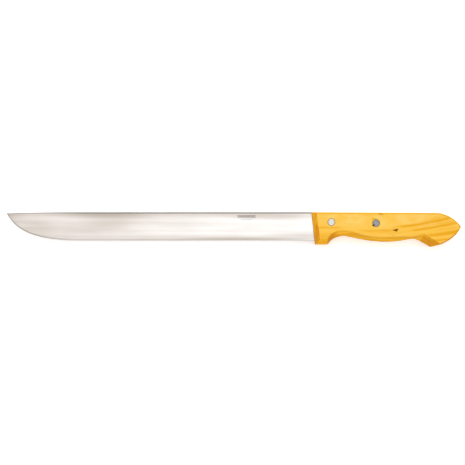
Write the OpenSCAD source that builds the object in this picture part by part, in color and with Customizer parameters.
// Uncapping knife: a long ground blade whose half tang sits in a slot of a one-piece wooden handle,
// held by two two-part compression rivets.
// The knife lies on its side. X runs from the tip to the butt, Y from the cutting edge to the spine
// and Z through the thickness. The origin is midway between the two rivets, on the handle's lower side.

/* [Blade] */
// Length from the front of the handle to the tip
blade_len = 280; // [240:5:320]
// Width from the spine to the cutting edge
blade_w = 26; // [22:1:28]
// Thickness of the steel sheet that the blade is cut from
sheet_t = 2; // [1.6:0.1:2.6]
// Thickness of the spine at the tip
tip_t = 1.1; // [0.8:0.1:1.4]
// Length of the stretch where the edge curves up to the tip
belly_len = 68; // [50:2:90]
// How far the tip lies below the line of the spine
tip_drop = 0.9; // [0.5:0.1:3]
// Width of the honed bevel along the cutting edge
honed_w = 1.4; // [0.8:0.1:2]

/* [Tang] */
// Length of the tang inside the handle
tang_len = 72; // [68:1:76]
// Height of the tang at the front of the handle
tang_h = 17; // [15:0.5:17.5]
// Height of the tang at its rear end
tang_end_h = 15.5; // [14.5:0.5:17]

/* [Handle] */
// Length from the front of the handle to the point of the butt
handle_len = 137; // [130:1:145]
// Thickness between the two flat sides
handle_t = 18; // [16:0.5:22]
// Depth of the heel below the spine
heel_depth = 29.6; // [28:0.2:31]
// Depth of the wood above the finger notch
notch_depth = 21.7; // [20.5:0.1:23]
// Depth of the belly that fills the palm
belly_depth = 27.1; // [25:0.1:28]
// Depth of the waist in front of the beak
waist_depth = 24.4; // [23:0.1:25]
// Depth of the beak that keeps the hand from slipping
beak_depth = 31.8; // [30:0.2:33]

/* [Rivets] */
// Distance of the front rivet from the front of the handle
front_rivet_x = 18; // [16:0.5:22]
// Distance of the rear rivet from the front of the handle
rear_rivet_x = 59; // [50:0.5:62]
// Diameter of the rivet heads
head_d = 6.5; // [5.5:0.1:8]
// Outer diameter of the rivet's tube
tube_d = 4.2; // [3.8:0.1:4.6]
// Diameter of the rivet's pin
pin_d = 3; // [2.4:0.1:3.2]

/* [Hidden] */
$fn = 64;

front_rivet_y = -9.1;
rear_rivet_y = -10;
origin_x = (front_rivet_x + rear_rivet_x) / 2;
origin_y = (front_rivet_y + rear_rivet_y) / 2;

// Blade section, and the curve of its edge
ground_t = sheet_t - 0.1;
shoulder_t = 0.6;
edge_t = 0.1;
spine_ease = [1.2, 0.35];
heel_flare = 0.8;
flare_len = 34;
let_in = 3;
flare_steps = 5;
belly_steps = 28;
tang_corner_r = 8;
slot_gap = 0.05;
slot_end_gap = 0.3;

// Handle knots, measured from the front of the handle at the spine
step_len = 1.5;
least_steps = 4;
front_lean = 3.2;
top_fall = 0.6;
front_top = [0, 0];
front_mitre = [2.9, 0];
heel_front = [front_lean, -heel_depth];
heel_back = [15.1, -heel_depth];
notch = [29.4, -notch_depth];
belly = [68, -belly_depth];
waist = [92, -waist_depth];
beak_root = [99.3, -waist_depth - 2];
beak = [109, -beak_depth];
beak_back = [117, -beak_depth + 1.9];
butt = [handle_len, -13.1];
top_back = [114, -top_fall];

// The same knots on the flat sides, inside the bevels
face_front_mitre = [4.7, -1.5];
face_front_top = [5, -3.8];
face_heel_front = [7.6, 4.7 - heel_depth];
face_heel_back = [14.7, 4.7 - heel_depth];
face_notch = notch + [-2, 5.1];
face_belly = belly + [-7, 4.7];
face_waist = waist + [-0.6, 2.3];
face_beak_root = beak_root + [3.4, 6.7];
face_beak = beak + [3.5, 6.3];
face_beak_back = beak_back + [0.5, 1.3];
face_butt = butt + [-1.4, -0.1];
face_top_back = top_back + [0, -1.3];

// Depth of the bevels below the flat sides
front_bevel = 3.6;
grip_bevel = 4;
waist_bevel = 2.6;
beak_bevel = 5;
butt_bevel = 1.2;
top_bevel = 1.3;
// How far the bevels run past the flat sides before the sides are cut
overcut = 0.5;

// Rivets
head_t = 1.5;
head_sink = 0.05;
head_ease = 0.15;
dimple = [0.9, 0.12];
seat_gap = 0.1;
pin_end = 13.5;
tube_end = 4.5;
bore_end = 14;
press_gap = 0.01;

function line_x(y) = front_lean * -y / heel_depth;
function top_y(x) = -top_fall * x / top_back[0];
function bezier(p, t) =
    (1 - t) ^ 3 * p[0] + 3 * t * (1 - t) ^ 2 * p[1] + 3 * t ^ 2 * (1 - t) * p[2] + t ^ 3 * p[3];
function mix(a, b, t) = a + (b - a) * t;

// Steps that a stretch is walked in, one when it is straight
function steps(p) = len(p) == 2 ? 1 : max(least_steps, ceil(norm(p[3] - p[0]) / step_len));
// Points of a line or a curve that is walked in n steps, without its last
function walk(p, n) = n == 1 ? [p[0]] : [for (i = [0 : n - 1]) bezier(p, i / n)];
// Curve between two knots that is level at both, held level for shares k of the length
function ease(a, b, k) = [a, a + [k[0] * (b[0] - a[0]), 0], b - [k[1] * (b[0] - a[0]), 0], b];

// Each stretch of the outline: the curve round the widest section, the matching curve on the flat
// side, and the depth of the bevel between them at its two ends
STRETCHES = [
    [[front_top, heel_front], [face_front_top, face_heel_front], front_bevel, grip_bevel],
    [[heel_front, heel_back], [face_heel_front, face_heel_back], grip_bevel, grip_bevel],
    [[heel_back, heel_back + [1.9, 5.4], notch - [4, 0], notch],
        [face_heel_back, face_heel_back + [1.3, 5.4], face_notch - [4.6, 0], face_notch],
        grip_bevel, grip_bevel],
    [ease(notch, belly, [0.11, 0.5]), ease(face_notch, face_belly, [0.4, 0.45]), grip_bevel, grip_bevel],
    [ease(belly, waist, [0.54, 0.12]), ease(face_belly, face_waist, [0.45, 0.3]), grip_bevel, waist_bevel],
    [[waist, waist + [3, 0], beak_root - [3, -1.4], beak_root],
        [face_waist, face_waist + [3, 0], face_beak_root - [4, 1.4], face_beak_root],
        waist_bevel, beak_bevel],
    [[beak_root, beak], [face_beak_root, face_beak], beak_bevel, beak_bevel],
    [[beak, beak_back], [face_beak, face_beak_back], beak_bevel, butt_bevel],
    [[beak_back, beak_back + [5.3, 1.8], butt + [-3.8, -9.1], butt + [-0.8, -1]],
        [face_beak_back, face_beak_back + [4.8, 1.8], face_butt + [-3.4, -8.1], face_butt + [-0.4, -0.6]],
        butt_bevel, butt_bevel],
    [[butt + [-0.8, -1], butt, butt, butt + [-0.9, 0.8]],
        [face_butt + [-0.4, -0.6], face_butt, face_butt, face_butt + [-0.5, 0.5]],
        butt_bevel, butt_bevel],
    [[butt + [-0.9, 0.8], butt + [-4.1, 5.4], top_back + [9.9, 0], top_back],
        [face_butt + [-0.5, 0.5], face_butt + [-3.6, 4.7], face_top_back + [9.5, 0], face_top_back],
        butt_bevel, top_bevel],
    [[top_back, front_mitre], [face_top_back, face_front_mitre], top_bevel, top_bevel],
    [[front_mitre, front_top], [face_front_mitre, face_front_top], top_bevel, front_bevel],
];
OUTLINE = [for (s = STRETCHES) each walk(s[0], steps(s[0]))];
FACE = [for (s = STRETCHES) each walk(s[1], steps(s[0]))];
DEPTHS = [for (s = STRETCHES) let (n = steps(s[0])) for (i = [0 : n - 1]) mix(s[2], s[3], i / n)];

// Rings of the handle's skin at the widest section, and where the bevels would end past a flat side
function wide_ring(side) = [for (i = [0 : len(OUTLINE) - 1])
    [OUTLINE[i][0], OUTLINE[i][1], side ? handle_t - DEPTHS[i] : DEPTHS[i]]];
function far_ring(side) = [for (i = [0 : len(FACE) - 1])
    let (p = FACE[i] + (FACE[i] - OUTLINE[i]) * overcut / DEPTHS[i])
    [p[0], p[1], side ? handle_t + overcut : -overcut]];

// Blade section between a point of the spine and a point of the edge, anticlockwise seen from the tip
function section(spine, edge, t) =
    let (len = norm(edge - spine), across = (edge - spine) / len, mid = handle_t / 2)
    let (ease = spine + across * min(spine_ease[0], len * 0.15))
    let (shoulder = edge - across * min(honed_w, len * 0.4))
    let (half = [[spine, t / 2 - spine_ease[1]], [ease, t / 2],
        [shoulder, min(shoulder_t, t * 0.6) / 2], [edge, edge_t / 2]])
    concat([for (p = half) [p[0][0], p[0][1], mid - p[1]]],
        [for (i = [3 : -1 : 0]) [half[i][0][0], half[i][0][1], mid + half[i][1]]]);

function blade_t(x) = mix(ground_t, tip_t, max(-x, 0) / blade_len);
function spine_y(u) = -tip_drop * u ^ 2.5;

belly_start = [belly_len - blade_len, -blade_w];
tip = [-blade_len, -tip_drop - 0.4];
belly_curve = [
    belly_start, belly_start - [0.65 * belly_len, 0], tip + [0.13 * belly_len, -0.575 * blade_w], tip];

// Sections from the heel to the start of the belly, then round the belly to the tip
HEEL_SECTIONS = [for (i = [-1 : flare_steps])
    let (x = i < 0 ? let_in : -flare_len * i / flare_steps, s = 1 + x / flare_len)
    section([x, 0], [x + line_x(-blade_w) * s, -blade_w - heel_flare * s ^ 2], blade_t(x))];
BELLY_SECTIONS = [for (i = [0 : belly_steps])
    let (u = i / belly_steps, x = belly_start[0] - (belly_len - 0.4) * u)
    section([x, spine_y(u)], bezier(belly_curve, u), blade_t(x))];

// Side view of the tang, grown by a gap at its lower and rear sides and raised at its top
function tang_outline(front, gap, raise) =
    let (r = tang_corner_r, end = tang_len + gap, low = tang_end_h + gap)
    concat([[front, raise], [front + line_x(-tang_h), -tang_h - gap]],
        [for (a = [-90 : 10 : 0]) [end - r + r * cos(a), r - low + r * sin(a)]],
        [[end, top_y(end) + raise]]);

module lay() translate([-origin_x, -origin_y, 0]) children();

module at_rivet(x, y) translate([x, y, 0]) children();

// Solid skinned over a stack of rings, whose points run anticlockwise seen from the last ring.
// The upper half of the stack is split the other way, so that a symmetric stack gives a symmetric skin.
module loft(rings) {
    n = len(rings[0]);
    last = n * (len(rings) - 1);
    sides = [for (r = [0 : len(rings) - 2], i = [0 : n - 1])
        let (a = r * n + i, b = r * n + (i + 1) % n, lower = 2 * r < len(rings) - 1)
        each lower ? [[a, a + n, b + n], [a, b + n, b]] : [[a, a + n, b], [a + n, b + n, b]]];
    caps = [[for (i = [0 : n - 1]) i], [for (i = [n - 1 : -1 : 0]) last + i]];
    polyhedron([for (r = rings) each r], concat(caps, sides), 10);
}

module slab(t, points) translate([0, 0, (handle_t - t) / 2]) linear_extrude(t) polygon(points);

module blade() {
    clear_r = tube_d / 2 + 0.2;
    color("gainsboro") lay() difference() {
        union() {
            loft(concat(HEEL_SECTIONS, BELLY_SECTIONS));
            slab(sheet_t, tang_outline(0.8, 0, -slot_gap));
        }
        at_rivet(front_rivet_x, front_rivet_y) cylinder(h = handle_t, r = clear_r);
        at_rivet(rear_rivet_x, rear_rivet_y) cylinder(h = handle_t, r = clear_r);
    }
}

module rivet_hole() {
    seat_t = head_sink + head_t;
    translate([0, 0, -1]) cylinder(h = handle_t + 2, r = tube_d / 2 + seat_gap);
    translate([0, 0, -1]) cylinder(h = 1 + seat_t, r = head_d / 2 + seat_gap);
    translate([0, 0, handle_t - seat_t]) cylinder(h = 1 + seat_t, r = head_d / 2 + seat_gap);
}

module handle() {
    slot_t = sheet_t + 2 * slot_gap;
    pocket_x = let_in + slot_end_gap;
    pocket_y = -blade_w - heel_flare - slot_end_gap;
    color("goldenrod") lay() difference() {
        intersection() {
            loft([far_ring(false), wide_ring(false), wide_ring(true), far_ring(true)]);
            translate([-5, -50, 0]) cube([handle_len + 10, 60, handle_t]);
        }
        slab(slot_t, tang_outline(-2, slot_end_gap, 2));
        slab(slot_t, [[-2, 2], [-2, pocket_y], [pocket_x + line_x(pocket_y), pocket_y], [pocket_x, 2]]);
        at_rivet(front_rivet_x, front_rivet_y) rivet_hole();
        at_rivet(rear_rivet_x, rear_rivet_y) rivet_hole();
    }
}

// Head of a rivet from its visible face inwards: eased rim and a shallow centre dimple
function head_profile(shank_r) = let (r = head_d / 2) [
    [0, dimple[1]], [dimple[0], 0], [r - head_ease, 0], [r, head_ease], [r, head_t], [shank_r, head_t]];

module rivet_pin() {
    r = pin_d / 2;
    translate([0, 0, head_sink]) rotate_extrude()
        polygon(concat(head_profile(r), [[r, pin_end - 0.3], [r - 0.3, pin_end], [0, pin_end]]));
}

module rivet_tube() {
    r = pin_d / 2 + press_gap;
    depth = handle_t - tube_end;
    translate([0, 0, handle_t - head_sink]) mirror([0, 0, 1]) rotate_extrude()
        polygon(concat(head_profile(tube_d / 2),
            [[tube_d / 2, depth], [r, depth], [r, handle_t - bore_end], [0, handle_t - bore_end]]));
}

module front_rivet_tube() color("silver") lay() at_rivet(front_rivet_x, front_rivet_y) rivet_tube();
module front_rivet_pin() color("silver") lay() at_rivet(front_rivet_x, front_rivet_y) rivet_pin();
module rear_rivet_tube() color("silver") lay() at_rivet(rear_rivet_x, rear_rivet_y) rivet_tube();
module rear_rivet_pin() color("silver") lay() at_rivet(rear_rivet_x, rear_rivet_y) rivet_pin();

blade();
handle();
front_rivet_tube();
front_rivet_pin();
rear_rivet_tube();
rear_rivet_pin();
